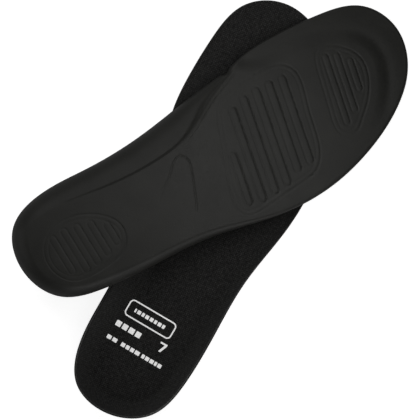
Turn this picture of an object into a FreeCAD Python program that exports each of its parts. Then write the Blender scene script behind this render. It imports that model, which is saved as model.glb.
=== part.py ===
import FreeCAD, Part
import math
import os

# A pair of cushioned insoles. The right one lies sole down. The left one is turned over and lies
# across it. Each is built in its own frame: X runs from the heel end to the toe, +Y is the inner
# (medial) side of a right foot, and Z = 0 is the flat of the sole. Lengths are in millimetres.
# The pair's own origin is under the middle of the whole, on the surface that the pair lies on.

# Alias and value of every driving dimension.
DIMENSIONS = {
    # plan of the sole
    "sole_length": 260.0,
    "heel_width": 66.5,
    "waist_width": 71.0,
    "ball_width": 91.2,
    "toe_radius": 33.5,
    "heel_offset": 1.2,
    "waist_offset": 7.6,
    "ball_offset": 13.0,
    "toe_offset": 6.3,
    # the wall round the edge: how far in it starts, and how high it stands at the edge
    "heel_run": 7.0,
    "arch_run": 17.0,
    "outer_run": 4.5,
    "fore_run": 2.0,
    "heel_rim": 14.0,
    "arch_rim": 19.0,
    "outer_rim": 7.0,
    "fore_rim": 0.8,
    # layers, from the sole up
    "base_floor": 2.1,
    "ply_thickness": 0.7,
    "ply_margin": 2.0,
    "film_thickness": 0.2,
    "foam_thickness": 1.7,
    "cover_thickness": 0.6,
    "ink_thickness": 0.15,
    # marks printed on the heel of the cover, turned a little from square
    "mark_turn": -8.7,
    "frame_middle": 59.0,
    "frame_along": 10.6,
    "frame_across": 27.0,
    "frame_corner": 2.5,
    "frame_line": 1.1,
    "bar_height": 2.4,
    "row_pitch": 10.6,
    "numeral_height": 5.6,
    "numeral_width": 4.0,
    "numeral_line": 1.1,
    # how the pair lies
    "right_heading": 68.2,
    "right_heel_x": -57.0,
    "right_heel_y": -119.5,
    "left_heading": 34.8,
    "left_heel_x": -104.6,
    "left_heel_y": -36.6,
    "left_heel_height": 46.2,
    "left_pitch": -8.4,
    "left_roll": 2.95,
    # least room between the two insoles, and under the upper one
    "rest_gap": 0.3,
}
PLIES = ("lower", "middle", "upper")
CORNER = math.sin(math.radians(45))
SETTLED = 0.02  # mm of height within which the upper insole has come to rest
RIM_SHARE = 0.45  # of a layer's height, by which its edge steps in at a full-height rim
RIM_RISE = 0.45  # of a layer's height, by which its edge steps up at a full-height rim
FLOOR_STEP = 0.35  # of a layer's height, by which the edge of its floor steps in


def make_sheet(doc):
    """Write the driving dimensions to the document's sheet."""
    sheet = doc.addObject("Spreadsheet::Sheet", "Sizes")
    for row, (alias, value) in enumerate(DIMENSIONS.items(), start=1):
        sheet.set(f"A{row}", alias)
        sheet.set(f"B{row}", str(value))
        sheet.setAlias(f"B{row}", alias)
    doc.recompute()
    return sheet


def edge_stations(size):
    """Points round the plan edge: from the heel end by the outer side, the toe and the inner side.

    Each is (x, y, run of the wall, height of the rim).
    """
    heel = size.heel_width / 2
    waist = size.waist_width / 2
    ball = size.ball_width / 2
    toe = size.toe_radius
    length = size.sole_length
    heel_y = size.heel_offset
    waist_y = -size.waist_offset
    ball_y = -size.ball_offset
    toe_y = -size.toe_offset
    toe_x = length - toe
    heel_back = heel * (1 - CORNER)
    toe_front = length - toe * (1 - CORNER)
    low = (size.fore_run, size.fore_rim)
    return (
        (0.0, heel_y, size.heel_run, size.heel_rim),
        (heel_back, heel_y - CORNER * heel, size.heel_run, size.heel_rim),
        (heel, heel_y - 1.02 * heel, size.heel_run, size.heel_rim),
        (0.25 * length, 0.6 * waist_y - 0.94 * waist, 0.8 * size.heel_run, 0.75 * size.heel_rim),
        (0.385 * length, waist_y - waist, size.outer_run, size.outer_rim),
        (0.53 * length, ball_y - 0.9 * ball, size.fore_run, 2 * size.fore_rim),
        (0.67 * length, ball_y - ball, *low),
        (0.79 * length, ball_y - 0.9 * ball, *low),
        (toe_x + 0.3 * toe, toe_y - 1.04 * toe, *low),
        (toe_front, toe_y - CORNER * toe, *low),
        (length, toe_y + 0.06 * toe, *low),
        (toe_front, toe_y + CORNER * toe, *low),
        (toe_x, toe_y + toe, *low),
        (0.77 * length, ball_y + 0.98 * ball, *low),
        (0.67 * length, ball_y + ball, *low),
        (0.625 * length, ball_y + 0.965 * ball, 1.5 * size.fore_run, 0.15 * size.arch_rim),
        (0.57 * length, ball_y + 0.955 * ball, 0.4 * size.arch_run, 0.7 * size.arch_rim),
        (0.47 * length, waist_y + 1.03 * waist, 0.94 * size.arch_run, size.arch_rim),
        (0.385 * length, waist_y + waist, size.arch_run, size.arch_rim),
        (0.25 * length, 0.45 * waist_y + 0.94 * waist, 0.85 * size.arch_run, 0.95 * size.arch_rim),
        (heel, heel_y + 0.96 * heel, 1.5 * size.heel_run, 1.1 * size.heel_rim),
        (heel_back, heel_y + 1.07 * CORNER * heel, 1.2 * size.heel_run, size.heel_rim),
    )


def inward(size, x, y):
    """Unit direction from a point of the edge towards the middle line of the sole."""
    heel_x = size.heel_width / 2
    toe_x = size.sole_length - size.toe_radius
    middle_x = min(max(x, heel_x), toe_x)
    share = (middle_x - heel_x) / (toe_x - heel_x)
    middle_y = size.heel_offset - share * (size.heel_offset + size.toe_offset)
    reach = math.hypot(middle_x - x, middle_y - y)
    return (middle_x - x) / reach, (middle_y - y) / reach


def closed_curve(size, side, points):
    """A smooth closed curve with one point for each station. side is -1 for the mirrored foot.

    All these curves keep step with the plan edge, so that a wall between two of them has no twist.
    """
    plan = [(x, y) for x, y, _, _ in edge_stations(size)]
    knots = [0.0]
    for before, after in zip(plan, plan[1:] + plan[:1]):
        knots.append(knots[-1] + math.dist(before, after))
    curve = Part.BSplineCurve()
    vectors = [FreeCAD.Vector(x, side * y, z) for x, y, z in points]
    curve.interpolate(Points=vectors, PeriodicFlag=True, Parameters=knots)
    return curve


def floor_curve(size, side, height, margin=0.0):
    """The edge of the flat floor at a height in the layers, or inside it by a margin."""
    points = []
    for x, y, run, _ in edge_stations(size):
        along, across = inward(size, x, y)
        inset = run + FLOOR_STEP * height + margin
        points.append((x + along * inset, y + across * inset, height))
    return closed_curve(size, side, points)


def rim_curve(size, side, height):
    """The edge of the rim at a height in the layers."""
    points = []
    for x, y, _, rim in edge_stations(size):
        along, across = inward(size, x, y)
        fullness = min(rim / size.heel_rim, 1.0)
        inset = RIM_SHARE * height * fullness
        rise = height * (1 - (1 - RIM_RISE) * fullness)
        points.append((x + along * inset, y + across * inset, rim + rise))
    return closed_curve(size, side, points)


def cupped_layer(size, side, bottom, top):
    """A sheet that lines the floor and the wall, between two heights in the layers."""
    floor_low = floor_curve(size, side, bottom).toShape()
    floor_high = floor_curve(size, side, top).toShape()
    rim_low = rim_curve(size, side, bottom).toShape()
    rim_high = rim_curve(size, side, top).toShape()
    faces = [
        Part.Face(Part.Wire([floor_low])),
        Part.makeRuledSurface(floor_low, rim_low),
        Part.makeRuledSurface(rim_low, rim_high),
        Part.makeRuledSurface(rim_high, floor_high),
        Part.Face(Part.Wire([floor_high])),
    ]
    shell = Part.makeShell(faces)
    shell.sewShape()
    solid = Part.makeSolid(shell)
    if solid.Volume < 0:
        solid.reverse()
    return solid


def heights(size):
    """Heights of the joints between the layers, from the sole up."""
    ply_bottom = size.base_floor
    base_top = ply_bottom + len(PLIES) * size.ply_thickness
    film_top = base_top + size.film_thickness
    foam_top = film_top + size.foam_thickness
    cover_top = foam_top + size.cover_thickness
    return ply_bottom, base_top, film_top, foam_top, cover_top


def ply_edge(size, side):
    """The edge that all the plies share. The base's recess has the same edge."""
    return floor_curve(size, side, 0.0, size.ply_margin + FLOOR_STEP * heights(size)[1])


def foam_base(size, side):
    """The moulded base: floor, heel cup and arch wing, with the recess that the plies lie in."""
    ply_bottom, base_top = heights(size)[:2]
    recess = Part.Face(Part.Wire([ply_edge(size, side).toShape()]))
    recess.translate(FreeCAD.Vector(0, 0, ply_bottom))
    depth = FreeCAD.Vector(0, 0, base_top - ply_bottom)
    return cupped_layer(size, side, 0.0, base_top).cut(recess.extrude(depth))


def add_feature(doc, label, shape):
    """A cupped layer as an object of the document: no pad or loft makes its two curved sheets."""
    feature = doc.addObject("Part::Feature", label)
    feature.Label = label
    feature.Shape = shape
    return feature


def add_pad(doc, label, draw, height, thickness):
    """A body that pads one flat sketch. draw fills the sketch; height and thickness are formulas."""
    body = doc.addObject("PartDesign::Body", label)
    body.Label = label
    planes = {feature.Role: feature for feature in body.Origin.OriginFeatures}
    sketch = body.newObject("Sketcher::SketchObject", f"{label}_sketch")
    sketch.AttachmentSupport = [(planes["XY_Plane"], "")]
    sketch.MapMode = "FlatFace"
    sketch.setExpression("AttachmentOffset.Base.z", height)
    draw(sketch)
    pad = body.newObject("PartDesign::Pad", f"{label}_pad")
    pad.Profile = sketch
    pad.setExpression("Length", thickness)
    return body


def add_plies(doc, size, side, foot):
    """The woven plies, stacked in the base's recess."""
    bodies = []
    for level, name in enumerate(PLIES):
        bodies.append(
            add_pad(
                doc,
                f"{foot}_textile_ply_{name}",
                lambda sketch: sketch.addGeometry(ply_edge(size, side)),
                f"Sizes.base_floor + {level} * Sizes.ply_thickness",
                "Sizes.ply_thickness",
            )
        )
    return bodies


def on_heel(size, across, along):
    """A point of the print in the insole's plan. across runs along the printed lines, along to the toe."""
    turn = math.radians(size.mark_turn)
    x = size.frame_middle + along * math.cos(turn) + across * math.sin(turn)
    y = along * math.sin(turn) - across * math.cos(turn)
    return FreeCAD.Vector(x, y, 0)


def draw_polygon(sketch, size, corners):
    """A closed run of straight lines through (across, along) corners."""
    points = [on_heel(size, across, along) for across, along in corners]
    for start, end in zip(points, points[1:] + points[:1]):
        sketch.addGeometry(Part.LineSegment(start, end))


def draw_bar(sketch, size, middle, width, height):
    """A printed bar, from its middle (across, along), its width across and its height along."""
    across, along = middle
    half = width / 2
    rise = height / 2
    corners = [(-half, -rise), (half, -rise), (half, rise), (-half, rise)]
    draw_polygon(sketch, size, [(across + dx, along + dy) for dx, dy in corners])


def draw_rounded_box(sketch, size, width, height, corner):
    """A closed outline with round corners about the frame's middle."""
    inner_x = width / 2 - corner
    inner_y = height / 2 - corner
    centres = [(inner_x, inner_y), (-inner_x, inner_y), (-inner_x, -inner_y), (inner_x, -inner_y)]
    ends = []
    for quarter, (centre_x, centre_y) in enumerate(centres):
        on_arc = []
        for step in range(3):
            angle = math.radians(90 * quarter + 45 * step)
            point = (centre_x + corner * math.cos(angle), centre_y + corner * math.sin(angle))
            on_arc.append(on_heel(size, *point))
        sketch.addGeometry(Part.Arc(*on_arc))
        ends.append((on_arc[0], on_arc[2]))
    for (_, start), (end, _) in zip(ends, ends[1:] + ends[:1]):
        sketch.addGeometry(Part.LineSegment(start, end))


def draw_frame(sketch, size):
    """The printed frame: a ring with round corners."""
    line = size.frame_line
    draw_rounded_box(sketch, size, size.frame_across, size.frame_along, size.frame_corner)
    inside = (size.frame_across - 2 * line, size.frame_along - 2 * line, size.frame_corner - line)
    draw_rounded_box(sketch, size, *inside)


def draw_bars(sketch, size):
    """Plain bars: one in the frame, one beside the numeral and two in the last row."""
    side = size.frame_across / 2
    first_row = -size.row_pitch
    second_row = -1.9 * size.row_pitch
    draw_bar(sketch, size, (0, 0), 0.72 * size.frame_across, size.bar_height)
    draw_bar(sketch, size, (-0.5 * side, first_row), 0.94 * side, size.bar_height)
    draw_bar(sketch, size, (-0.89 * side, second_row), 0.46 * side, size.bar_height)
    draw_bar(sketch, size, (0.36 * side, second_row), 1.76 * side, size.bar_height)


def draw_numeral(sketch, size):
    """The size numeral, a seven."""
    line = size.numeral_line
    left = 1.2 * size.frame_across / 2 - size.numeral_width
    right = left + size.numeral_width
    bottom = -size.row_pitch - size.numeral_height / 2
    top = bottom + size.numeral_height
    foot = left + 0.3 * size.numeral_width
    corners = [
        (left, top),
        (left, top - line),
        (right - 1.3 * line, top - line),
        (foot, bottom),
        (foot + 1.2 * line, bottom),
        (right, top - line),
        (right, top),
    ]
    draw_polygon(sketch, size, corners)


def add_prints(doc, size, foot):
    """The printed marks. Both feet carry them the right way round."""
    top = "Sizes.base_floor + {} * Sizes.ply_thickness".format(len(PLIES))
    top += " + Sizes.film_thickness + Sizes.foam_thickness + Sizes.cover_thickness"
    drawings = {"print_frame": draw_frame, "print_bars": draw_bars, "print_numeral": draw_numeral}
    return [
        add_pad(doc, f"{foot}_{name}", lambda sketch: draw(sketch, size), top, "Sizes.ink_thickness")
        for name, draw in drawings.items()
    ]


def make_insole(doc, size, foot, side):
    """All the pieces of one insole in its own frame."""
    _, base_top, film_top, foam_top, cover_top = heights(size)
    pieces = [add_feature(doc, f"{foot}_foam_base", foam_base(size, side))]
    pieces += add_plies(doc, size, side, foot)
    cupped = {
        "bond_film": (base_top, film_top),
        "comfort_foam": (film_top, foam_top),
        "top_cover": (foam_top, cover_top),
    }
    for name, (bottom, top) in cupped.items():
        pieces.append(add_feature(doc, f"{foot}_{name}", cupped_layer(size, side, bottom, top)))
    return pieces + add_prints(doc, size, foot)


def lie_flat(size):
    """The right insole lies sole down at its heading."""
    heel = FreeCAD.Vector(size.right_heel_x, size.right_heel_y, 0)
    return FreeCAD.Placement(heel, FreeCAD.Rotation(FreeCAD.Vector(0, 0, 1), size.right_heading))


def lie_turned_over(size):
    """The left insole lies on its back, with the pitch and roll that it rests at."""
    heel = FreeCAD.Vector(size.left_heel_x, size.left_heel_y, size.left_heel_height)
    heading = FreeCAD.Rotation(FreeCAD.Vector(0, 0, 1), size.left_heading)
    pitch = FreeCAD.Rotation(FreeCAD.Vector(0, 1, 0), -size.left_pitch)
    roll = FreeCAD.Rotation(FreeCAD.Vector(1, 0, 0), 180 + size.left_roll)
    return FreeCAD.Placement(heel, heading.multiply(pitch).multiply(roll))


def move_up(pieces, height):
    """Move pieces straight up."""
    for piece in pieces:
        piece.Placement.Base += FreeCAD.Vector(0, 0, height)


def room_under(upper, lower):
    """The least distance from the upper insole to the lower one and to the surface under both."""
    upper_shape = Part.makeCompound([piece.Shape for piece in upper])
    lower_shape = Part.makeCompound([piece.Shape for piece in lower])
    return min(upper_shape.distToShape(lower_shape)[0], upper_shape.optimalBoundingBox(False).ZMin)


def settle(size, upper, lower):
    """Raise the upper insole to where it rests on the lower one, if it has no room at its own height."""
    if room_under(upper, lower) >= size.rest_gap:
        return
    lift = size.arch_rim + heights(size)[-1]
    move_up(upper, lift)
    drop = lift
    while drop > SETTLED and lift > 0:
        drop = min(room_under(upper, lower) - size.rest_gap, lift)
        lift -= drop
        move_up(upper, -drop)


def centre_pair(placed):
    """Move every piece by the same amount, so that the pair's middle is over the origin."""
    box = FreeCAD.BoundBox()
    for piece in placed:
        box.add(piece.Shape.optimalBoundingBox(False))
    shift = FreeCAD.Vector(-box.Center.x, -box.Center.y, -box.ZMin)
    for piece in placed:
        piece.Placement.Base += shift


def check(doc, pieces):
    """Stop if an object failed or a piece isn't sound."""
    for item in doc.Objects:
        if {"Invalid", "Error"} & set(item.State):
            raise RuntimeError(f"{item.Label} failed: {item.State}")
    for piece in pieces:
        if piece.Shape.isNull() or not piece.Shape.isValid() or piece.Shape.Volume <= 0:
            raise RuntimeError(f"{piece.Label} isn't a sound solid")


doc = FreeCAD.newDocument("insoles")
size = make_sheet(doc)
right = make_insole(doc, size, "right", 1)
left = make_insole(doc, size, "left", -1)
doc.recompute()
for piece in right:
    piece.Placement = lie_flat(size)
for piece in left:
    piece.Placement = lie_turned_over(size)
settle(size, left, right)
centre_pair(right + left)
doc.recompute()
check(doc, right + left)
os.makedirs("parts", exist_ok=True)
for piece in right + left:
    piece.Shape.exportStep(f"parts/{piece.Label}.step")
    print(f"{piece.Label}: {piece.Shape.Volume / 1000:.2f} cm3, {len(piece.Shape.Solids)} solid(s)")
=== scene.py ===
import math

import bmesh
import bpy
import numpy as np
from mathutils import Matrix, Vector
from mathutils.bvhtree import BVHTree


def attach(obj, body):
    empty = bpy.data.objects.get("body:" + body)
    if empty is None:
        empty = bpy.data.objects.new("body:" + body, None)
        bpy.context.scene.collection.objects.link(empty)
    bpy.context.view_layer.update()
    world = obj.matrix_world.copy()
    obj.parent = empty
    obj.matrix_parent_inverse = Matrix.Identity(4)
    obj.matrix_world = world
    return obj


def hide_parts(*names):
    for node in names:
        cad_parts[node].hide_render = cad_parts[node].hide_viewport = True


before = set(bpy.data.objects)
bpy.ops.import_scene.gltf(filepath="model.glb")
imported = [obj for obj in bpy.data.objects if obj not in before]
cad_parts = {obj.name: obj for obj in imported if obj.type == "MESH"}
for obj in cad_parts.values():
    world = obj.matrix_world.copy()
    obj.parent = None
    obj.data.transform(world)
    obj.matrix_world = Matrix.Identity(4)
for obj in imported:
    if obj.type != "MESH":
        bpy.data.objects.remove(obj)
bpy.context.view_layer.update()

# A pair of cushioned insoles. Each is shaped in its own frame, in millimetres: x from the heel end
# to the toe, +y to the inner side of a right foot, z up from the flat of the sole. place() then
# carries it to the pair's frame in metres.

MM = 0.001

# ---------------------------------------------------------------- sizes, as the frame has them
LENGTH = 260.0
HEEL_WIDTH = 66.5
WAIST_WIDTH = 71.0
BALL_WIDTH = 91.2
TOE_RADIUS = 33.5
HEEL_OFFSET = 1.2
WAIST_OFFSET = 7.6
BALL_OFFSET = 13.0
TOE_OFFSET = 6.3
HEEL_RUN = 7.0
ARCH_RUN = 17.0
OUTER_RUN = 4.5
FORE_RUN = 2.0
HEEL_RIM = 14.0
ARCH_RIM = 19.0
OUTER_RIM = 7.0
FORE_RIM = 0.8
FLOOR_STEP = 0.35
PLY_BOTTOM = 2.1
PLY_MARGIN = 2.0
BASE_TOP = 4.2
FILM_TOP = 4.4
FOAM_TOP = 6.1
COVER_TOP = 6.7

# How each insole lies: heading, pitch and roll in degrees, and the heel end's place.
RIGHT_LIES = (68.2, 0.0, 0.0, (-57.5, -119.6, 0.0))
LEFT_LIES = (34.8, -8.4, 182.95, (-105.1, -36.7, 46.2))

# Rim of each layer's top: how far in from the edge, and how high above the rim's lowest point,
# where the wall stands at its full height.
LIP = {
    0.0: (0.0, 0.0),
    BASE_TOP: (0.9, 1.5),
    FILM_TOP: (1.0, 1.6),
    FOAM_TOP: (1.5, 2.5),
    COVER_TOP: (1.8, 3.0),
}

ALONG = 590  # floor divisions from heel to toe on the moulded base
ACROSS = 108
SHEET_ALONG = 200  # the same for the thin layers
SHEET_ACROSS = 56
SMOOTH_UNDER = 40.0  # degrees between faces that are shaded as one curve

CORNER = math.sin(math.radians(45))
CORNER_STATIONS = (1, 9, 11, 21)  # heel outer, toe outer, toe inner, heel inner


def edge_stations():
    """Points round the plan edge: x, y, run of the wall, height of the rim."""
    heel, waist, ball, toe = HEEL_WIDTH / 2, WAIST_WIDTH / 2, BALL_WIDTH / 2, TOE_RADIUS
    heel_y, waist_y, ball_y, toe_y = HEEL_OFFSET, -WAIST_OFFSET, -BALL_OFFSET, -TOE_OFFSET
    heel_back = heel * (1 - CORNER)
    toe_x = LENGTH - toe
    toe_front = LENGTH - toe * (1 - CORNER)
    low = (FORE_RUN, FORE_RIM)
    return np.array((
        (0.0, heel_y, HEEL_RUN, HEEL_RIM),
        (heel_back, heel_y - CORNER * heel, HEEL_RUN, HEEL_RIM),
        (heel, heel_y - 1.02 * heel, HEEL_RUN, HEEL_RIM),
        (0.25 * LENGTH, 0.6 * waist_y - 0.94 * waist, 0.8 * HEEL_RUN, 0.75 * HEEL_RIM),
        (0.385 * LENGTH, waist_y - waist, OUTER_RUN, OUTER_RIM),
        (0.53 * LENGTH, ball_y - 0.9 * ball, FORE_RUN, 2 * FORE_RIM),
        (0.67 * LENGTH, ball_y - ball, *low),
        (0.79 * LENGTH, ball_y - 0.9 * ball, *low),
        (toe_x + 0.3 * toe, toe_y - 1.04 * toe, *low),
        (toe_front, toe_y - CORNER * toe, *low),
        (LENGTH, toe_y + 0.06 * toe, *low),
        (toe_front, toe_y + CORNER * toe, *low),
        (toe_x, toe_y + toe, *low),
        (0.77 * LENGTH, ball_y + 0.98 * ball, *low),
        (0.67 * LENGTH, ball_y + ball, *low),
        (0.625 * LENGTH, ball_y + 0.965 * ball, 1.5 * FORE_RUN, 0.15 * ARCH_RIM),
        (0.57 * LENGTH, ball_y + 0.955 * ball, 0.4 * ARCH_RUN, 0.7 * ARCH_RIM),
        (0.47 * LENGTH, waist_y + 1.03 * waist, 0.94 * ARCH_RUN, ARCH_RIM),
        (0.385 * LENGTH, waist_y + waist, ARCH_RUN, ARCH_RIM),
        (0.25 * LENGTH, 0.45 * waist_y + 0.94 * waist, 0.85 * ARCH_RUN, 0.95 * ARCH_RIM),
        (heel, heel_y + 0.96 * heel, 1.5 * HEEL_RUN, 1.1 * HEEL_RIM),
        (heel_back, heel_y + 1.07 * CORNER * heel, 1.2 * HEEL_RUN, HEEL_RIM),
    ))


# ---------------------------------------------------------------- closed smooth curves
def closed_spline(points, knots, where):
    """The smooth closed curve through points, one per knot, at the parameters in where."""
    count = len(points)
    gaps = np.diff(knots)
    slopes = (np.roll(points, -1, axis=0) - points) / gaps[:, None]
    matrix = np.zeros((count, count))
    for row in range(count):
        before = (row - 1) % count
        after = (row + 1) % count
        matrix[row, before] += gaps[before]
        matrix[row, row] += 2 * (gaps[before] + gaps[row])
        matrix[row, after] += gaps[row]
    bends = np.linalg.solve(matrix, 6 * (slopes - np.roll(slopes, 1, axis=0)))
    where = np.mod(where, knots[-1])
    piece = np.clip(np.searchsorted(knots, where, side="right") - 1, 0, count - 1)
    after = (piece + 1) % count
    gap = gaps[piece][:, None]
    ahead = (where - knots[piece])[:, None]
    behind = gap - ahead
    cubic = (bends[piece] * behind**3 + bends[after] * ahead**3) / (6 * gap)
    start = points[piece] / gap - bends[piece] * gap / 6
    end = points[after] / gap - bends[after] * gap / 6
    return cubic + start * behind + end * ahead


LOOP_STEPS = 14  # points per side of a closed line
CORNER_ROUNDS = 4  # times that an open line has its corners cut


def smooth_loop(points):
    """A smooth closed line through a few given corners, as an array of points."""
    corners = np.array(points, float)
    sides = np.linalg.norm(np.roll(corners, -1, axis=0) - corners, axis=1)
    knots = np.concatenate(([0.0], np.cumsum(np.sqrt(sides))))
    where = np.linspace(0, knots[-1], LOOP_STEPS * len(corners), endpoint=False)
    return closed_spline(corners, knots, where)


def smooth_line(points):
    """An open line with its corners cut round."""
    line = np.array(points, float)
    for _ in range(CORNER_ROUNDS):
        here, ahead = line[:-1], line[1:]
        cut = (0.75 * here + 0.25 * ahead, 0.25 * here + 0.75 * ahead)
        line = np.stack(cut, axis=1).reshape(-1, 2)
    return line


class Edge:
    """The plan edge, sampled so that its points match the rim of a floor grid."""

    def __init__(self, along, across):
        self.stations = edge_stations()
        plan = self.stations[:, :2]
        sides = np.linalg.norm(np.roll(plan, -1, axis=0) - plan, axis=1)
        self.knots = np.concatenate(([0.0], np.cumsum(sides)))
        marks = [self.knots[station] for station in CORNER_STATIONS]
        marks.append(marks[0] + self.knots[-1])
        steps = (along, across, along, across)
        runs = [np.linspace(a, b, n, endpoint=False) for a, b, n in zip(marks, marks[1:], steps)]
        self.where = np.concatenate(runs)
        self.side = self.inward()

    def inward(self):
        """Unit directions at the stations towards the middle line of the sole."""
        heel_x = HEEL_WIDTH / 2
        toe_x = LENGTH - TOE_RADIUS
        middle_x = np.clip(self.stations[:, 0], heel_x, toe_x)
        share = (middle_x - heel_x) / (toe_x - heel_x)
        middle = np.stack((middle_x, HEEL_OFFSET - share * (HEEL_OFFSET + TOE_OFFSET)), axis=1)
        reach = middle - self.stations[:, :2]
        return reach / np.linalg.norm(reach, axis=1)[:, None]

    def curve(self, inset, height):
        """A closed curve inset from the edge by one amount per station, at one height per station."""
        points = np.empty((len(self.stations), 3))
        points[:, :2] = self.stations[:, :2] + self.side * np.broadcast_to(inset, len(points))[:, None]
        points[:, 2] = height
        return closed_spline(points, self.knots, self.where)

    def floor(self, height, margin=0.0):
        """The edge of a layer's flat floor."""
        return self.curve(self.stations[:, 2] + FLOOR_STEP * height + margin, height)

    def rim(self, height):
        """The edge of a layer at the rim, where full walls have a thin lip."""
        inset, rise = LIP[height]
        fullness = np.minimum(self.stations[:, 3] / HEEL_RIM, 1.0)
        lift = height * (1 - fullness) + rise * fullness
        return self.curve(inset * fullness, self.stations[:, 3] + lift)


# ---------------------------------------------------------------- the moulded relief of the sole
def smooth_step(low, high, value):
    """0 below low, 1 above high, and a smooth rise between them."""
    share = np.clip((value - low) / (high - low), 0.0, 1.0)
    return share * share * (3 - 2 * share)


def segment_distance(points, start, end):
    """Distance of each point to one straight segment in plan."""
    run = np.subtract(end, start)
    share = np.clip(((points - start) @ run) / (run @ run), 0.0, 1.0)
    return np.linalg.norm(points - start - share[:, None] * run, axis=1)


def line_distance(points, line, closed=True):
    """Distance of each point to a line of short segments."""
    ends = np.roll(line, -1, axis=0) if closed else line[1:]
    best = np.full(len(points), 1e9)
    for start, end in zip(line, ends):
        best = np.minimum(best, segment_distance(points, start, end))
    return best


def inside(points, loop):
    """True for each point inside a closed line."""
    hits = np.zeros(len(points), bool)
    x, y = points[:, 0], points[:, 1]
    for start, end in zip(loop, np.roll(loop, -1, axis=0)):
        crosses = (start[1] > y) != (end[1] > y)
        if crosses.any():
            reach = start[0] + (y - start[1]) * (end[0] - start[0]) / (end[1] - start[1] + 1e-12)
            hits ^= crosses & (x < reach)
    return hits


# Border of the raised forefoot. It steps down to the rim round the toes.
PLATEAU = (
    (-60, 100), (60, 100), (140, 80), (163, 42), (176, 26), (190, 21), (205, 20), (220, 15), (232, 8.5),
    (240, -1), (241.5, -11), (238.5, -21), (232, -31), (220, -43), (204, -57), (180, -85), (60, -110),
    (-60, -110),
)
TOE_STEP = 1.1  # how far the rim is set back from the forefoot
TOE_STEP_RUN = (-4.5, 4.0)  # from inside the border to outside it
TOE_SLOPE = 0.05  # set back further per millimetre outside the border
TOE_SLOPE_RUN = 20
TROUGH = 0.5
TROUGH_MIDDLE = 3.0  # outside the border
TROUGH_HALF = 3.8
OUTER_FADE = (-50, -24)  # y over which step and trough fade out on the outer side

# Ribbed pads, each with a border of two lines, the inner one finer.
FORE_PAD = (
    (148, 18), (136, -2), (124, -28), (123, -43), (133, -47), (155, -47), (173, -46), (183, -35),
    (190, -14), (196, 6), (190, 17), (168, 20.5),
)
TOE_PAD = (
    (213, 11), (205.5, -3), (199, -23), (197, -36), (204, -41), (213, -36.5), (225, -26),
    (232, -12), (231, -2), (223, 8),
)
HEEL_PAD = ((36, 13.5), (19, 10), (12.5, -4), (19, -18), (36, -22.5), (54, -20), (60.5, -9), (54, 4))
PAD_LEAN = 0.28
PAD_HALF = 8.0
PAD_LINE = 0.7  # depth of the border, as a share of a rib's line
INNER_LINE_IN = 2.6
INNER_LINE_DEPTH = 0.12

RIB_LEVEL = -15.0  # the y at which "first" and "pitch" are measured
FORE_RIBS = {
    "first": 136.4, "pitch": 8.76, "lean": 0.278, "round": 2.2, "depth": 0.9,
    "ends": ((-12, -39), (10, -42), (12, -42), (12, -42), (10.5, -39), (9, -39)),
}
TOE_RIBS = {
    "first": 209.4, "pitch": 6.9, "lean": 0.285, "round": 1.9, "depth": 0.8,
    "ends": ((5, -33), (2, -29.5), (-5, -21)),
}
HEEL_RIBS = {
    "first": 21.8, "pitch": 7.8, "lean": 0.05, "round": 2.0, "depth": 0.5,
    "ends": ((8, -13), (8, -17), (6, -17), (3, -16), (-3, -14)),
}
LINE_DEPTH = 0.5
LINE_HALF = 0.4
PILLOW = 0.14
REAR_SHARE = 0.5  # depth of a line that faces the heel, as a share of one that faces the toe

HEEL_MIDDLE = (40, 1)
HEEL_HALF = (40, 27)
HEEL_CROWN = 1.5  # how far the sole is set back round the flat middle of the heel
CROWN_RUN = (0.55, 1.15)  # in shares of HEEL_HALF
CROWN_FADE = (40, 85)  # x over which the crown fades out towards the arch

BEAD = 0.5  # a bead along the foot of the arch wing, near the ball
BEAD_INSET = 1.1
BEAD_HALF = 0.75
BEAD_START = (100, 140)
BEAD_END = (160, 168)
WING_FOOT = (90, 172)  # x between which the foot of the arch wing is followed

ARCH_LINE = (
    (83, -12), (91, -5), (100, -0.5), (106, 5.5), (112, 7), (115, 1), (112, -6), (108, -14),
    (104.5, -21), (99, -30),
)
ARCH_LINE_DEPTH = 0.42
ARCH_LINE_START = (82, 104)
ARCH_LINE_LEAN = 0.4


def engraved(distance, depth=LINE_DEPTH):
    """Depth of a moulded line at a distance from its middle."""
    return depth * np.exp(-((distance / LINE_HALF) ** 2))


def toe_facing(ahead, half):
    """Line depth share, from REAR_SHARE behind a shape's middle to 1 in front of it."""
    return REAR_SHARE + (1 - REAR_SHARE) * smooth_step(-half, half, ahead)


def ribs_relief(points, first, pitch, lean, round, ends, depth):
    """Round-ended ribs, each a low pillow inside a moulded line."""
    height = np.zeros(len(points))
    for number, (inner, outer) in enumerate(ends):
        foot = first + number * pitch
        start = (foot + lean * (inner - RIB_LEVEL), inner)
        end = (foot + lean * (outer - RIB_LEVEL), outer)
        reach = segment_distance(points, start, end)
        ahead = points[:, 0] - foot - lean * (points[:, 1] - RIB_LEVEL)
        height += depth * engraved(np.abs(reach - round)) * toe_facing(ahead, round)
        height -= depth * PILLOW * np.clip(1 - (reach / round) ** 2, 0, 1)
    return height


def toe_relief(points):
    """The step and the trough round the forefoot, towards the toes."""
    border = smooth_loop(PLATEAU)
    beyond = line_distance(points, border) * np.where(inside(points, border), -1, 1)
    step = TOE_STEP * smooth_step(*TOE_STEP_RUN, beyond) + TOE_SLOPE * np.clip(beyond, 0, TOE_SLOPE_RUN)
    trough = TROUGH * np.exp(-(((beyond - TROUGH_MIDDLE) / TROUGH_HALF) ** 2))
    return smooth_step(*OUTER_FADE, points[:, 1]) * (step + trough)


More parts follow.
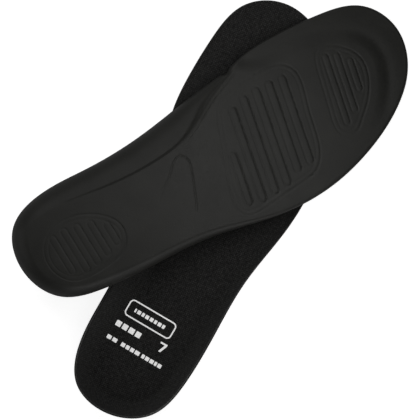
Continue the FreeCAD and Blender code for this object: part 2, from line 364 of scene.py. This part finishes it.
def pads_relief(points):
    """The two lines round each ribbed pad."""
    height = np.zeros(len(points))
    for loop in (FORE_PAD, TOE_PAD, HEEL_PAD):
        line = smooth_loop(loop)
        reach = line_distance(points, line)
        middle_x, middle_y = line.mean(axis=0)
        ahead = points[:, 0] - middle_x - PAD_LEAN * (points[:, 1] - middle_y)
        height += PAD_LINE * engraved(reach) * toe_facing(ahead, PAD_HALF)
        inner_line = engraved(np.abs(reach - INNER_LINE_IN), INNER_LINE_DEPTH)
        height += np.where(inside(points, line), inner_line, 0.0)
    return height


def heel_relief(points):
    """The crown of the heel, from which the sole curves up to the cup."""
    x_share = (points[:, 0] - HEEL_MIDDLE[0]) / HEEL_HALF[0]
    y_share = (points[:, 1] - HEEL_MIDDLE[1]) / HEEL_HALF[1]
    crown = HEEL_CROWN * smooth_step(*CROWN_RUN, np.hypot(x_share, y_share))
    return crown * (1 - smooth_step(*CROWN_FADE, points[:, 0]))


def bead_relief(points, edge_line):
    """The bead along the foot of the arch wing. It stands out, so its depth is below 0."""
    x, y = edge_line[:, 0], edge_line[:, 1]
    wing = (y > 0) & (x > WING_FOOT[0]) & (x < WING_FOOT[1])
    foot = edge_line[wing][::-1]
    foot_y = np.interp(points[:, 0], foot[:, 0], foot[:, 1])
    bead = np.exp(-(((foot_y - points[:, 1] - BEAD_INSET) / BEAD_HALF) ** 2))
    ends = smooth_step(*BEAD_START, points[:, 0]) * (1 - smooth_step(*BEAD_END, points[:, 0]))
    return -BEAD * bead * ends


def arch_relief(points):
    """The single open line under the arch. It grows fainter towards the heel."""
    reach = line_distance(points, smooth_line(ARCH_LINE), closed=False)
    ahead = points[:, 0] - ARCH_LINE_LEAN * points[:, 1]
    return engraved(reach, ARCH_LINE_DEPTH) * smooth_step(*ARCH_LINE_START, ahead)


def sole_relief(points, edge_line):
    """How far the sole's face is set back (upwards) from its flat, in plan points."""
    height = toe_relief(points) + pads_relief(points) + heel_relief(points)
    for ribs in (FORE_RIBS, TOE_RIBS, HEEL_RIBS):
        height += ribs_relief(points, **ribs)
    return height + bead_relief(points, edge_line) + arch_relief(points)


# ---------------------------------------------------------------- walls
INNER_SIDE = (2.0, 8.0)  # y over which the crease of the inner side sets in
CREASE_START = (15, 80)  # x over which it grows from nothing at the heel
CREASE_END = (158, 170)  # x over which it fades out at the ball
FOLD_START = (112, 150)  # x over which the crease grows to a fold, near the ball
CREASE_STEP = 0.11  # share of the wall's height that the crease takes
FOLD_STEP = 0.2  # what the fold adds to it
CREASE_RUN = 0.1  # share of the wall's run that the crease takes
FOLD_RUN = 0.25
BULGE_POWER = 2.3


def crease_share(plan):
    """1 along the inner side, where the wall starts with a crease, and 0 elsewhere."""
    start = smooth_step(*CREASE_START, plan[:, 0])
    end = smooth_step(*CREASE_END, plan[:, 0])
    return smooth_step(*INNER_SIDE, plan[:, 1]) * start * (1 - end)


def outer_wall(share, crease, fold, fullness):
    """Height share of the wall's outer face, from 0 at the floor's edge to 1 at the rim."""
    ellipse = 1 - np.sqrt(np.clip(1 - share**2, 0, 1))
    full = 0.15 * share + 0.85 * ellipse
    plain = fullness * full + (1 - fullness) * ellipse
    bulge = 1 - np.clip(1 - share**BULGE_POWER, 0, 1) ** (1 / BULGE_POWER)
    step = CREASE_STEP + FOLD_STEP * fold
    foot = smooth_step(0.0, CREASE_RUN + FOLD_RUN * fold, share)
    creased = step * foot + (1 - step) * (0.1 * share + 0.9 * bulge)
    return crease * creased + (1 - crease) * plain


def inner_wall(share):
    """Height share of the wall's inner face and of every layer on it."""
    return 0.35 * share + 0.65 * share**2


# ---------------------------------------------------------------- meshes from a grid and rings
def floor_grid(bm, border, along, across):
    """A grid fitted inside a closed border, and its outer edges. Border points keep their number."""
    bmesh.ops.create_grid(bm, x_segments=along, y_segments=across, size=1.0)
    number = bm.verts.layers.int.new("border")
    outer = border[: along + 1]
    toe = border[along : along + across + 1]
    inner = border[along + across : 2 * along + across + 1][::-1]
    heel = np.concatenate((border[2 * along + across :], border[:1]))[::-1]
    for vert in bm.verts:
        column = round((vert.co.x + 1) / 2 * along)
        row = round((vert.co.y + 1) / 2 * across)
        share_x = column / along
        share_y = row / across
        point = (1 - share_y) * outer[column] + share_y * inner[column]
        point = point + (1 - share_x) * heel[row] + share_x * toe[row]
        point = point - (1 - share_y) * ((1 - share_x) * outer[0] + share_x * outer[-1])
        point = point - share_y * ((1 - share_x) * inner[0] + share_x * inner[-1])
        vert.co = point
        if row == 0:
            vert[number] = column
        elif column == along:
            vert[number] = along + row
        elif row == across:
            vert[number] = along + across + (along - column)
        elif column == 0:
            vert[number] = 2 * along + across + (across - row)
        else:
            vert[number] = -1
    return [e for e in bm.edges if e.is_boundary]


def add_ring(bm, edges, points, flat=None):
    """Grow the open edge by one ring. points holds the new place of each border point."""
    number = bm.verts.layers.int["border"]
    made = bmesh.ops.extrude_edge_only(bm, edges=edges)["geom"]
    for vert in made:
        if isinstance(vert, bmesh.types.BMVert):
            vert.co = points[vert[number]]
            if flat is not None:
                vert[bm.verts.layers.float_vector["flat"]] = flat[vert[number]]
    return [e for e in made if isinstance(e, bmesh.types.BMEdge) and e.is_boundary]


def close_ring(bm, edges):
    """Fill the open edge with one flat face."""
    bmesh.ops.edgeloop_fill(bm, edges=edges)


def place(lies):
    """The matrix from an insole's own millimetres to the pair's metres."""
    heading, pitch, roll, heel = lies
    turn = Matrix.Rotation(math.radians(heading), 4, "Z")
    turn = turn @ Matrix.Rotation(-math.radians(pitch), 4, "Y")
    turn = turn @ Matrix.Rotation(math.radians(roll), 4, "X")
    return Matrix.Translation(Vector(heel) * MM) @ turn @ Matrix.Scale(MM, 4)


def to_object(bm, name, side, lies):
    """Mirror for the foot, set in place, and make the object, with faces outwards."""
    bmesh.ops.transform(bm, matrix=place(lies) @ Matrix.Diagonal((1, side, 1, 1)), verts=bm.verts)
    bmesh.ops.recalc_face_normals(bm, faces=bm.faces)
    mesh = bpy.data.meshes.new(name)
    bm.to_mesh(mesh)
    bm.free()
    mesh.shade_smooth()
    mesh.set_sharp_from_angle(angle=math.radians(SMOOTH_UNDER))
    piece = bpy.data.objects.new(name, mesh)
    bpy.context.scene.collection.objects.link(piece)
    return piece


# Rings of a mesh, as shares of the way up a wall, down its hidden side or round a trimmed edge.
WALL_ROWS = (0.03, 0.06, 0.09, 0.13, 0.2, 0.3, 0.42, 0.54, 0.66, 0.77, 0.86, 0.93, 0.98, 1.0)
HIDDEN_ROWS = (0.8, 0.55, 0.3, 0.12, 0.0)
THIN_ROWS = (0.06, 0.13, 0.21, 0.3, 0.4, 0.5, 0.6, 0.7, 0.8, 0.9, 1.0)
RIM_ROWS = (0.15, 0.5, 0.85, 1.0)
TRIM_ROWS = (0.1, 0.5, 0.9, 1.0)
RIM_SWELL = 0.5  # how far the rim of the base stands out, in millimetres
TRIM_SWELL = 0.08  # how far a trimmed edge stands out, as a share of its thickness
NOTCH_X = 162.0
NOTCH_HALF = 2.6
NOTCH_DEPTH = 1.5
NOTCH_SIDE = 20  # the notch is where y is above this


def wall_points(floor, rim, share, inner):
    """A ring on a wall, part of the way from the floor's edge to the rim."""
    plan = floor + (rim - floor) * share
    if inner:
        rise = np.full(len(plan), inner_wall(share))
    else:
        fullness = np.clip(rim[:, 2] / HEEL_RIM, 0, 1)
        fold = smooth_step(*FOLD_START, floor[:, 0])
        rise = outer_wall(np.full(len(plan), share), crease_share(floor), fold, fullness)
    plan[:, 2] = floor[:, 2] + (rim[:, 2] - floor[:, 2]) * rise
    return plan


def notch(points):
    """The edge dips where the arch wing meets the forefoot."""
    moved = points.copy()
    near = np.exp(-(((points[:, 0] - NOTCH_X) / NOTCH_HALF) ** 2)) * (points[:, 1] > NOTCH_SIDE)
    moved[:, 1] -= NOTCH_DEPTH * near
    return moved


def moulded_base(name, side, lies):
    """The moulded foam base: relief on the sole, walls, rim, and the recess for the plies."""
    edge = Edge(ALONG, ACROSS)
    floor = edge.floor(0.0)
    rim = notch(edge.rim(0.0))
    bm = bmesh.new()
    open_edge = floor_grid(bm, floor, ALONG, ACROSS)
    verts = list(bm.verts)
    plan = np.array([vert.co.xy for vert in verts])
    for vert, height in zip(verts, sole_relief(plan, floor)):
        vert.co.z += height
    floor_height = sole_relief(floor[:, :2], floor)
    for share in WALL_ROWS:
        ring = wall_points(floor, rim, share, inner=False)
        ring[:, 2] += floor_height * (1 - share * np.clip(rim[:, 2] / HEEL_RIM, 0, 1))
        open_edge = add_ring(bm, open_edge, ring)
    low = ring
    top_rim = notch(edge.rim(BASE_TOP))
    for share in RIM_ROWS:
        swell = edge.curve(-RIM_SWELL * math.sin(math.pi * share), 0.0) - edge.curve(0.0, 0.0)
        open_edge = add_ring(bm, open_edge, low + (top_rim - low) * share + swell)
    top_floor = edge.floor(BASE_TOP)
    for share in HIDDEN_ROWS:
        open_edge = add_ring(bm, open_edge, wall_points(top_floor, top_rim, share, inner=True))
    ply_edge = edge.floor(0.0, PLY_MARGIN + FLOOR_STEP * BASE_TOP)
    for height in (BASE_TOP, PLY_BOTTOM):
        ply_edge[:, 2] = height
        open_edge = add_ring(bm, open_edge, ply_edge)
    close_ring(bm, open_edge)
    return to_object(bm, name, side, lies)


def lining(name, side, lies, low, high):
    """A thin layer that lines the floor and the walls, between two heights in the layers.

    Each point also keeps its place on the flat cut in the attribute "flat", in metres.
    """
    edge = Edge(SHEET_ALONG, SHEET_ACROSS)
    floor = edge.floor(high)
    rim = notch(edge.rim(high))
    bm = bmesh.new()
    flat = bm.verts.layers.float_vector.new("flat")
    open_edge = floor_grid(bm, floor, SHEET_ALONG, SHEET_ACROSS)
    for vert in bm.verts:
        vert[flat] = vert.co * MM
    outward = (rim - floor) * (1, 1, 0)
    outward /= np.linalg.norm(outward, axis=1)[:, None]
    before = floor
    cut = floor * (1, 1, 0)
    for share in THIN_ROWS:
        ring = wall_points(floor, rim, share, inner=True)
        cut = cut + outward * np.linalg.norm(ring - before, axis=1)[:, None]
        open_edge = add_ring(bm, open_edge, ring, cut * MM)
        before = ring
    low_rim = notch(edge.rim(low))
    low_floor = edge.floor(low)
    thick = np.linalg.norm(rim - low_rim, axis=1)[:, None]
    for share in TRIM_ROWS:
        swell = TRIM_SWELL * (high - low) * math.sin(math.pi * share)
        ring = rim + (low_rim - rim) * share + outward * swell
        open_edge = add_ring(bm, open_edge, ring, (cut + outward * thick * share) * MM)
    for share in THIN_ROWS[::-1][1:] + (0.0,):
        open_edge = add_ring(bm, open_edge, wall_points(low_floor, low_rim, share, inner=True))
    close_ring(bm, open_edge)
    return to_object(bm, name, side, lies)


# ---------------------------------------------------------------- printed marks
MARK_TURN = math.radians(-8.7)
FRAME_MIDDLE = 60.0
FRAME_ACROSS = 31.0
FRAME_ALONG = 10.6
FRAME_CORNER = 2.6
FRAME_LINE = 0.8
BAR_CORNER = 0.25
# Rows of blocks: left end, place along the foot, height, widths, gap.
BAR_ROWS = (
    (-10.6, 0.0, 2.3, (1.1, 2.2, 1.7, 2.2, 2.2, 1.7, 2.2, 1.7), 0.75),
    (-16.4, -11.5, 3.4, (3.3, 3.3, 3.5, 3.3), 1.0),
    (-17.0, -21.0, 2.4, (2.8, 2.9), 0.9),
    (-7.5, -21.0, 2.4, (2.5, 2.3, 2.4, 3.0), 0.7),
    (6.3, -21.0, 2.4, (1.9, 2.4, 2.5, 1.6, 2.4), 0.6),
)
NUMERAL_LINE = 1.05
LONGEST_STEP = 1.5  # so that the ink follows the curve of the cover
INK_LIFT = 0.02  # room between the ink and the cover
INK_THICKNESS = 0.1


def on_heel(across, along):
    """A point of the print in plan. across runs along the printed rows, along runs to the toe."""
    x = FRAME_MIDDLE + along * math.cos(MARK_TURN) + across * math.sin(MARK_TURN)
    y = along * math.sin(MARK_TURN) - across * math.cos(MARK_TURN)
    return Vector((x, y, 0))


def mark_face(bm, corners):
    """One flat printed patch through (across, along) corners."""
    bm.faces.new([bm.verts.new(on_heel(*corner)) for corner in corners])


def patch_corners(middle, width, height, corner, steps=5):
    """The outline of a printed patch with round corners, each of so many points."""
    across, along = middle
    out = []
    for quarter in range(4):
        sign_x = 1 if quarter in (0, 3) else -1
        sign_y = 1 if quarter in (0, 1) else -1
        for step in range(steps):
            angle = math.pi / 2 * (quarter + step / (steps - 1))
            x = across + sign_x * (width / 2 - corner) + corner * math.cos(angle)
            y = along + sign_y * (height / 2 - corner) + corner * math.sin(angle)
            out.append((x, y))
    return out


def frame_mark(bm):
    """A ring with round corners."""
    middle = (0, 0)
    inner_size = (FRAME_ACROSS - 2 * FRAME_LINE, FRAME_ALONG - 2 * FRAME_LINE)
    outer = patch_corners(middle, FRAME_ACROSS, FRAME_ALONG, FRAME_CORNER)
    inner = patch_corners(middle, *inner_size, FRAME_CORNER - FRAME_LINE)
    for start in range(len(outer)):
        end = (start + 1) % len(outer)
        mark_face(bm, (outer[start], outer[end], inner[end], inner[start]))


def bars_mark(bm):
    """Rows of plain blocks."""
    for left, along, height, widths, gap in BAR_ROWS:
        for width in widths:
            mark_face(bm, patch_corners((left + width / 2, along), width, height, BAR_CORNER, 3))
            left += width + gap


def numeral_mark(bm):
    """The size, a seven: a bar across the top and a leaning stroke."""
    left, right = 12.0, 16.4
    bottom, top = -13.8, -8.0
    under = top - NUMERAL_LINE
    foot = left + 0.28 * (right - left)
    knee = right - 1.35 * NUMERAL_LINE
    foot_end = foot + 1.25 * NUMERAL_LINE
    mark_face(bm, ((left, top), (left, under), (knee, under), (right, under), (right, top)))
    mark_face(bm, ((knee, under), (foot, bottom), (foot_end, bottom), (right, under)))


def printed_mark(name, draw, cover, lies):
    """Ink on the cover: the flat mark is divided, dropped on to the cloth and thickened."""
    bm = bmesh.new()
    draw(bm)
    bmesh.ops.remove_doubles(bm, verts=bm.verts, dist=0.01)
    bmesh.ops.triangulate(bm, faces=bm.faces)
    long_edges = [e for e in bm.edges if e.calc_length() > LONGEST_STEP]
    while long_edges:
        bmesh.ops.subdivide_edges(bm, edges=long_edges, cuts=1)
        bmesh.ops.triangulate(bm, faces=bm.faces)
        long_edges = [e for e in bm.edges if e.calc_length() > LONGEST_STEP]
    bmesh.ops.recalc_face_normals(bm, faces=bm.faces)
    if sum(face.normal.z for face in bm.faces) < 0:
        bmesh.ops.reverse_faces(bm, faces=bm.faces)
    own = place(lies)
    tree = BVHTree.FromObject(cover, bpy.context.evaluated_depsgraph_get())
    down = (own.to_3x3() @ Vector((0, 0, -1))).normalized()
    back = own.inverted()
    for vert in bm.verts:
        start = own @ (vert.co + Vector((0, 0, 30)))
        hit = tree.ray_cast(start, down)[0]
        vert.co.z = (back @ hit).z + INK_LIFT
    bmesh.ops.solidify(bm, geom=bm.faces[:], thickness=-INK_THICKNESS)
    return to_object(bm, name, 1, lies)


# ---------------------------------------------------------------- shader groups
def new_group(name, numbers, outputs):
    """An empty shader group that takes a Vector and some numbers, and gives numbers."""
    group = bpy.data.node_groups.new(name, "ShaderNodeTree")
    group.interface.new_socket("Vector", in_out="INPUT", socket_type="NodeSocketVector")
    for label in numbers:
        group.interface.new_socket(label, in_out="INPUT", socket_type="NodeSocketFloat")
    for label in outputs:
        group.interface.new_socket(label, in_out="OUTPUT", socket_type="NodeSocketFloat")
    return group, group.nodes.new("NodeGroupInput"), group.nodes.new("NodeGroupOutput")


def feed(tree, socket, value):
    """Give an input a number, or link it to a socket."""
    if isinstance(value, (int, float)):
        socket.default_value = value
    else:
        tree.links.new(value, socket)


def add_math(tree, operation, first, second=None):
    """A math node; each input is a socket or a number. Returns its output."""
    node = tree.nodes.new("ShaderNodeMath")
    node.operation = operation
    feed(tree, node.inputs[0], first)
    if second is not None:
        feed(tree, node.inputs[1], second)
    return node.outputs[0]


def times(tree, first, second):
    return add_math(tree, "MULTIPLY", first, second)


def plus(tree, first, second):
    return add_math(tree, "ADD", first, second)


def wave(tree, value, turns):
    """The sine of so many half turns per unit of value."""
    return add_math(tree, "SINE", times(tree, value, turns * math.pi))


def add_noise(tree, vector, scale, detail=3.0, rough=0.55):
    node = tree.nodes.new("ShaderNodeTexNoise")
    tree.links.new(vector, node.inputs["Vector"])
    feed(tree, node.inputs["Scale"], scale)
    node.inputs["Detail"].default_value = detail
    node.inputs["Roughness"].default_value = rough
    return node.outputs["Fac"]


def spread(tree, value, low, high, start=0.0, end=1.0):
    """A value mapped from start..end to low..high."""
    node = tree.nodes.new("ShaderNodeMapRange")
    tree.links.new(value, node.inputs["Value"])
    for label, number in (("From Min", start), ("From Max", end), ("To Min", low), ("To Max", high)):
        node.inputs[label].default_value = number
    return node.outputs["Result"]


def pitched(group, given):
    """The given vector's x and y, counted in pitches."""
    parts = group.nodes.new("ShaderNodeSeparateXYZ")
    group.links.new(given.outputs["Vector"], parts.inputs[0])
    return [times(group, parts.outputs[axis], given.outputs["Pitch"]) for axis in "XY"]


def knit_group():
    """Rows of small loops: height, how far a point is down between the yarns, and patches of tone."""
    group, given, out = new_group("knit_loops", ("Pitch", "Fuzz"), ("Height", "Valley", "Tone"))
    across, along = pitched(group, given)
    row = add_math(group, "ABSOLUTE", wave(group, along, 1))
    column = wave(group, plus(group, across, times(group, row, 0.7)), 2)
    loops = times(group, plus(group, times(group, column, 0.5), 0.5), row)
    fuzz = times(group, add_noise(group, given.outputs["Vector"], 2600.0, 2.0), given.outputs["Fuzz"])
    patch = add_noise(group, given.outputs["Vector"], 620.0, 4.0, 0.75)
    group.links.new(plus(group, loops, fuzz), out.inputs["Height"])
    group.links.new(add_math(group, "SUBTRACT", 1.0, loops), out.inputs["Valley"])
    group.links.new(spread(group, patch, 0.0, 1.0, 0.36, 0.64), out.inputs["Tone"])
    return group


def skin_group():
    """The skin of moulded foam: fine grain, faint flow marks and soft blotches."""
    group, given, out = new_group("foam_skin", ("Grain",), ("Height", "Blotch", "Speck"))
    grain = add_noise(group, given.outputs["Vector"], given.outputs["Grain"], 3.0, 0.6)
    flow = add_noise(group, given.outputs["Vector"], 55.0, 3.0, 0.5)
    speck = add_noise(group, given.outputs["Vector"], 620.0, 4.0, 0.7)
    pits = group.nodes.new("ShaderNodeTexVoronoi")
    group.links.new(given.outputs["Vector"], pits.inputs["Vector"])
    pits.inputs["Scale"].default_value = 420.0
    pit = times(group, add_math(group, "LESS_THAN", pits.outputs["Distance"], 0.16), 0.6)
    height = add_math(group, "SUBTRACT", times(group, grain, 0.8), pit)
    mottled = plus(group, times(group, flow, 0.45), times(group, speck, 0.55))
    group.links.new(plus(group, height, times(group, flow, 0.8)), out.inputs["Height"])
    group.links.new(mottled, out.inputs["Blotch"])
    group.links.new(speck, out.inputs["Speck"])
    return group


def plain_weave_group():
    """Over-and-under weave of a tight textile."""
    group, given, out = new_group("plain_weave", ("Pitch",), ("Height", "Valley"))
    warp, weft = [wave(group, yarns, 1) for yarns in pitched(group, given)]
    cross = times(group, warp, weft)
    gap = add_math(group, "SUBTRACT", 1.0, add_math(group, "ABSOLUTE", cross))
    group.links.new(plus(group, times(group, cross, 0.5), 0.5), out.inputs["Height"])
    group.links.new(gap, out.inputs["Valley"])
    return group


# ---------------------------------------------------------------- materials
def new_material(name, rough, specular):
    """A material with its Principled shader: returns (material, tree, shader)."""
    material = bpy.data.materials.new(name)
    material.use_nodes = True
    tree = material.node_tree
    shader = tree.nodes["Principled BSDF"]
    shader.inputs["Roughness"].default_value = rough
    shader.inputs["Specular IOR Level"].default_value = specular
    return material, tree, shader


def use_group(tree, group, vector, **values):
    node = tree.nodes.new("ShaderNodeGroup")
    node.node_tree = group
    tree.links.new(vector, node.inputs["Vector"])
    for label, value in values.items():
        node.inputs[label].default_value = value
    return node


def object_coordinates(tree):
    """The piece's own coordinates, in metres."""
    return tree.nodes.new("ShaderNodeTexCoord").outputs["Object"]


def flat_coordinates(tree):
    """Each point's place on the flat cut, in metres."""
    node = tree.nodes.new("ShaderNodeAttribute")
    node.attribute_name = "flat"
    return node.outputs["Vector"]


def blend_colours(tree, factor, low, high):
    """A colour between two by a mask. The low one may be a socket."""
    node = tree.nodes.new("ShaderNodeMix")
    node.data_type = "RGBA"
    tree.links.new(factor, node.inputs["Factor"])
    if isinstance(low, tuple):
        node.inputs["A"].default_value = (*low, 1)
    else:
        tree.links.new(low, node.inputs["A"])
    node.inputs["B"].default_value = (*high, 1)
    return node.outputs["Result"]


def add_bump(tree, shader, height, distance):
    node = tree.nodes.new("ShaderNodeBump")
    node.inputs["Distance"].default_value = distance
    tree.links.new(height, node.inputs["Height"])
    tree.links.new(node.outputs["Normal"], shader.inputs["Normal"])


def moulded_foam(groups):
    """Charcoal skin of moulded polyurethane foam."""
    material, tree, shader = new_material("moulded_foam", 0.6, 0.24)
    skin = use_group(tree, groups["skin"], object_coordinates(tree), Grain=900.0)
    patches = spread(tree, skin.outputs["Blotch"], 0, 1, 0.25, 0.75)
    colour = blend_colours(tree, patches, (0.007, 0.007, 0.006), (0.017, 0.017, 0.0148))
    tree.links.new(colour, shader.inputs["Base Color"])
    tree.links.new(spread(tree, skin.outputs["Speck"], 0.5, 0.64, 0.3, 0.7), shader.inputs["Roughness"])
    add_bump(tree, shader, skin.outputs["Height"], 0.00006)
    return material


def knitted_cover(groups):
    """Fine black knit, with painted shade darkening the valleys between the yarns."""
    material, tree, shader = new_material("knitted_cover", 0.85, 0.12)
    shader.inputs["Sheen Weight"].default_value = 0.02
    shader.inputs["Sheen Roughness"].default_value = 0.5
    knit = use_group(tree, groups["knit"], flat_coordinates(tree), Pitch=900.0, Fuzz=0.35)
    yarn = blend_colours(tree, knit.outputs["Tone"], (0.013, 0.013, 0.0122), (0.047, 0.0465, 0.0445))
    # Painted shade: the colour darkens towards black where the point lies down between the yarns.
    depth = spread(tree, knit.outputs["Valley"], 0.0, 0.75, 0.2, 1.0)
    tree.links.new(blend_colours(tree, depth, yarn, (0.004, 0.004, 0.004)), shader.inputs["Base Color"])
    add_bump(tree, shader, knit.outputs["Height"], 0.00025)
    return material


def open_cell_foam(groups):
    """Dark open-cell foam, seen at the trimmed edge."""
    material, tree, shader = new_material("open_cell_foam", 0.9, 0.2)
    skin = use_group(tree, groups["skin"], object_coordinates(tree), Grain=1800.0)
    colour = blend_colours(tree, skin.outputs["Speck"], (0.03, 0.03, 0.03), (0.008, 0.008, 0.008))
    tree.links.new(colour, shader.inputs["Base Color"])
    add_bump(tree, shader, skin.outputs["Height"], 0.0002)
    return material


def adhesive_film(groups):
    """Milky hot-melt web."""
    material, tree, shader = new_material("adhesive_film", 0.35, 0.5)
    skin = use_group(tree, groups["skin"], object_coordinates(tree), Grain=600.0)
    colour = blend_colours(tree, skin.outputs["Blotch"], (0.10, 0.10, 0.095), (0.16, 0.16, 0.15))
    tree.links.new(colour, shader.inputs["Base Color"])
    add_bump(tree, shader, skin.outputs["Height"], 0.00005)
    return material


def woven_textile(groups):
    """Tight natural-coloured technical weave, with painted shade darkening the gaps between the yarns.
    """
    material, tree, shader = new_material("woven_textile", 0.75, 0.3)
    weave = use_group(tree, groups["weave"], object_coordinates(tree), Pitch=1400.0)
    # Painted shade: the colour darkens in the gaps between the yarns.
    colour = blend_colours(tree, weave.outputs["Valley"], (0.52, 0.48, 0.38), (0.24, 0.22, 0.17))
    tree.links.new(colour, shader.inputs["Base Color"])
    add_bump(tree, shader, weave.outputs["Height"], 0.0002)
    return material


def white_ink(groups):
    """White screen print that follows the knit, with a painted glow and painted shade in the knit's
    valleys.
    """
    material, tree, shader = new_material("white_ink", 0.6, 0.4)
    # Painted light: the ink glows a little, white, though it is no lamp.
    shader.inputs["Emission Color"].default_value = (1, 1, 1, 1)
    shader.inputs["Emission Strength"].default_value = 0.3
    knit = use_group(tree, groups["knit"], object_coordinates(tree), Pitch=900.0, Fuzz=0.3)
    # Painted shade: the ink is darker where it lies down between the yarns.
    depth = spread(tree, knit.outputs["Valley"], 0, 1, 0.75, 1.0)
    colour = blend_colours(tree, depth, (0.86, 0.86, 0.85), (0.62, 0.62, 0.61))
    tree.links.new(colour, shader.inputs["Base Color"])
    add_bump(tree, shader, knit.outputs["Height"], 0.0001)
    return material


def dress(piece, material):
    piece.data.materials.clear()
    piece.data.materials.append(material)


# ---------------------------------------------------------------- one insole
MARKS = (
    ("ink_frame", frame_mark, "print_frame"),
    ("ink_bars", bars_mark, "print_bars"),
    ("ink_seven", numeral_mark, "print_numeral"),
)


def build_insole(foot, side, lies, finish):
    """Every piece of one insole, dressed and tied to its body; the CAD part that it stands for is
    hidden.
    """
    body = f"{foot}_insole"
    base = moulded_base(f"{foot}_moulded_base", side, lies)
    film = lining(f"{foot}_adhesive_web", side, lies, BASE_TOP, FILM_TOP)
    foam = lining(f"{foot}_cushion_foam", side, lies, FILM_TOP, FOAM_TOP)
    cover = lining(f"{foot}_knit_cover", side, lies, FOAM_TOP, COVER_TOP)
    made = [
        (base, "foam_base", "base_foam", "moulded_foam"),
        (film, "bond_film", "bond_film", "adhesive_film"),
        (foam, "comfort_foam", "comfort_foam", "open_cell_foam"),
        (cover, "top_cover", "cover_knit", "knitted_cover"),
    ]
    for mark, draw, node in MARKS:
        ink = printed_mark(f"{foot}_{mark}", draw, cover, lies)
        made.append((ink, node, "print_ink", "white_ink"))
    for piece, node, slot, material in made:
        dress(piece, finish[material])
        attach(piece, body)
        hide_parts(f"{foot}_{node}")
    for level in ("lower", "middle", "upper"):
        dress(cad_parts[f"{foot}_textile_ply_{level}"], finish["woven_textile"])


# ---------------------------------------------------------------- studio
FLOOR_Z = -0.0006  # just below the beads and ribs of the sole, in metres


def add_floor():
    bm = bmesh.new()
    bmesh.ops.create_grid(bm, x_segments=1, y_segments=1, size=3.0)
    mesh = bpy.data.meshes.new("studio_floor")
    bm.to_mesh(mesh)
    bm.free()
    floor = bpy.data.objects.new("studio_floor", mesh)
    floor.location.z = FLOOR_Z
    bpy.context.scene.collection.objects.link(floor)
    material, tree, shader = new_material("pale_floor", 0.9, 0.1)
    shader.inputs["Base Color"].default_value = (0.6, 0.6, 0.6, 1)
    shader.inputs["Emission Color"].default_value = (1, 1, 1, 1)
    seen = tree.nodes.new("ShaderNodeLightPath").outputs["Is Camera Ray"]
    tree.links.new(times(tree, seen, 0.85), shader.inputs["Emission Strength"])
    dress(floor, material)


def add_light(name, place_m, size, power):
    """A square soft light that faces the pair."""
    lamp = bpy.data.lights.new(name, "AREA")
    lamp.size = size
    lamp.energy = power
    lamp_object = bpy.data.objects.new(name, lamp)
    lamp_object.location = place_m
    lamp_object.visible_camera = False
    lamp_object.rotation_euler = (-Vector(place_m)).to_track_quat("-Z", "Y").to_euler()
    bpy.context.scene.collection.objects.link(lamp_object)


def add_studio():
    add_floor()
    world = bpy.data.worlds.new("studio_world")
    world.use_nodes = True
    sky = world.node_tree.nodes["Background"]
    sky.inputs["Color"].default_value = (1, 1, 1, 1)
    sky.inputs["Strength"].default_value = 0.08
    bpy.context.scene.world = world
    add_light("key_softbox", (0.25, -0.6, 0.2), 0.36, 1.5)
    add_light("left_softbox", (-0.6, -0.05, 0.22), 0.4, 0.65)
    add_light("back_softbox", (-0.15, 0.6, 0.6), 0.7, 2.4)
    add_light("overhead_softbox", (0.055, 0.04, 0.19), 0.14, 0.16)
    bpy.context.scene.view_settings.view_transform = "Standard"


def add_camera():
    """Straight down, from far away, with the toes towards the top of the picture."""
    lens = bpy.data.cameras.new("overhead_camera")
    camera = bpy.data.objects.new("overhead_camera", lens)
    height = 2.5
    frame_width = 0.2459  # seen at the floor
    lens.sensor_width = 36.0
    lens.lens = lens.sensor_width * height / frame_width
    lens.clip_start = 0.1
    lens.clip_end = 20.0
    camera.location = (-0.0005, -0.0001, height)
    bpy.context.scene.collection.objects.link(camera)
    bpy.context.scene.camera = camera


groups = {"knit": knit_group(), "skin": skin_group(), "weave": plain_weave_group()}
finishes = {
    "moulded_foam": moulded_foam(groups),
    "knitted_cover": knitted_cover(groups),
    "open_cell_foam": open_cell_foam(groups),
    "adhesive_film": adhesive_film(groups),
    "woven_textile": woven_textile(groups),
    "white_ink": white_ink(groups),
}
build_insole("right", 1, RIGHT_LIES, finishes)
build_insole("left", -1, LEFT_LIES, finishes)
add_studio()
add_camera()
